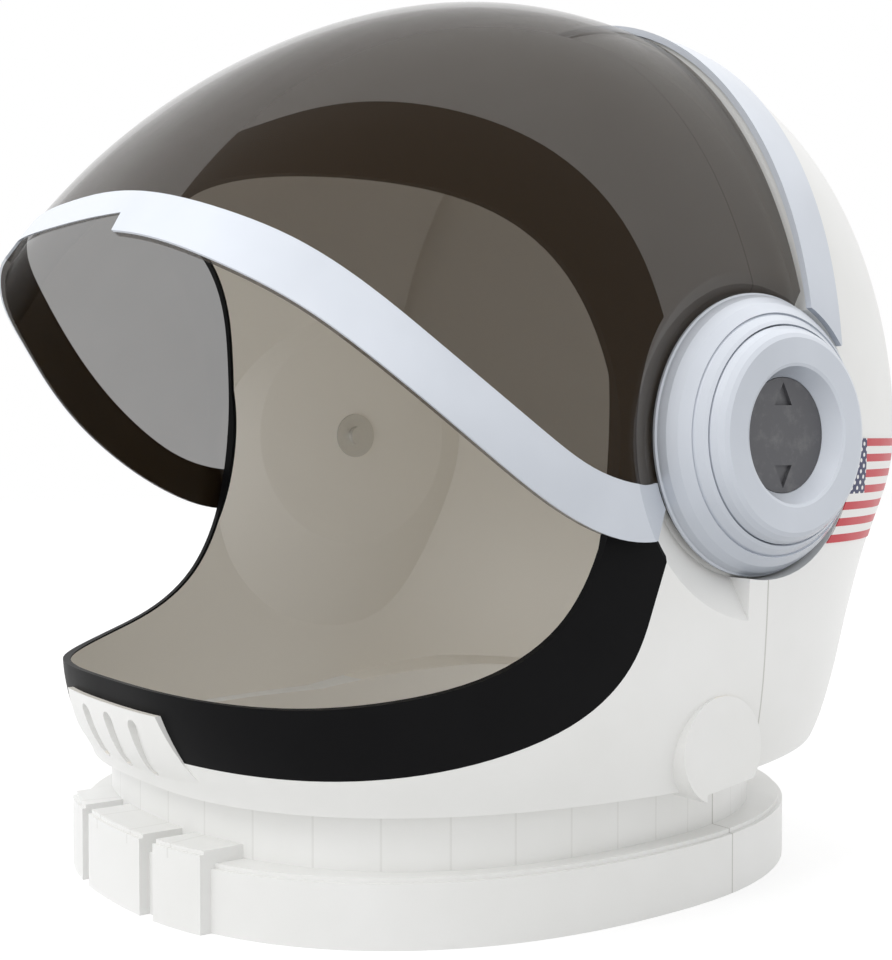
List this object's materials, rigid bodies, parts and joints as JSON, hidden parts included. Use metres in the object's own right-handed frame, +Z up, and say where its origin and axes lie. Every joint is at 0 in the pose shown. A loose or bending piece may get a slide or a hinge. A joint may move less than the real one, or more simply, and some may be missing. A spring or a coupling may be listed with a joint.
{
  "type": "space helmet",
  "caption": "Full-head space helmet of two half shells on a neck ring, with a smoked visor that tilts on round ear hubs and is shown raised.",
  "frame": {"origin": "centre of the bounding box's footprint on the table, under the neck ring", "axes": "+Z up, the face looks towards -Y, +X is the wearer's left and the pivot axis lies along X"},
  "size_m": [0.276, 0.3191, 0.3051],
  "materials": {
    "white_shell": "satin moulded white",
    "black_surround": "smooth black paint",
    "silver_paint": "satin silver paint",
    "smoke_visor": "clear smoked brown",
    "grey_cap": "fine matt",
    "screw_steel": "zinc plated",
    "washer_rubber": "matt",
    "flag_print": "printed film"
  },
  "bodies": {
    "helmet": {"front_shell": "white_shell", "rear_shell": "white_shell", "opening_band": "black_surround", "shell_screws": "screw_steel", "crown_band": "silver_paint", "flag_decal": "flag_print", "ear_cover_left": "silver_paint", "ear_cover_right": "silver_paint", "ear_bezel_left": "silver_paint", "ear_bezel_right": "silver_paint", "pivot_cap_left": "grey_cap", "pivot_cap_right": "grey_cap", "pivot_bush_left": "white_shell", "pivot_bush_right": "white_shell", "friction_washer_left": "washer_rubber", "friction_washer_right": "washer_rubber", "pivot_washers": "screw_steel", "pivot_screws": "screw_steel"},
    "visor": {"visor": "smoke_visor", "visor_trim": "silver_paint"}
  },
  "joints": [
    {"name": "visor_tilt", "type": "hinge", "parent": "helmet", "child": "visor", "pos_m": [0, 0.0246, 0.149], "axis": [1, 0, 0], "range_deg": [0, 47]}
  ]
}
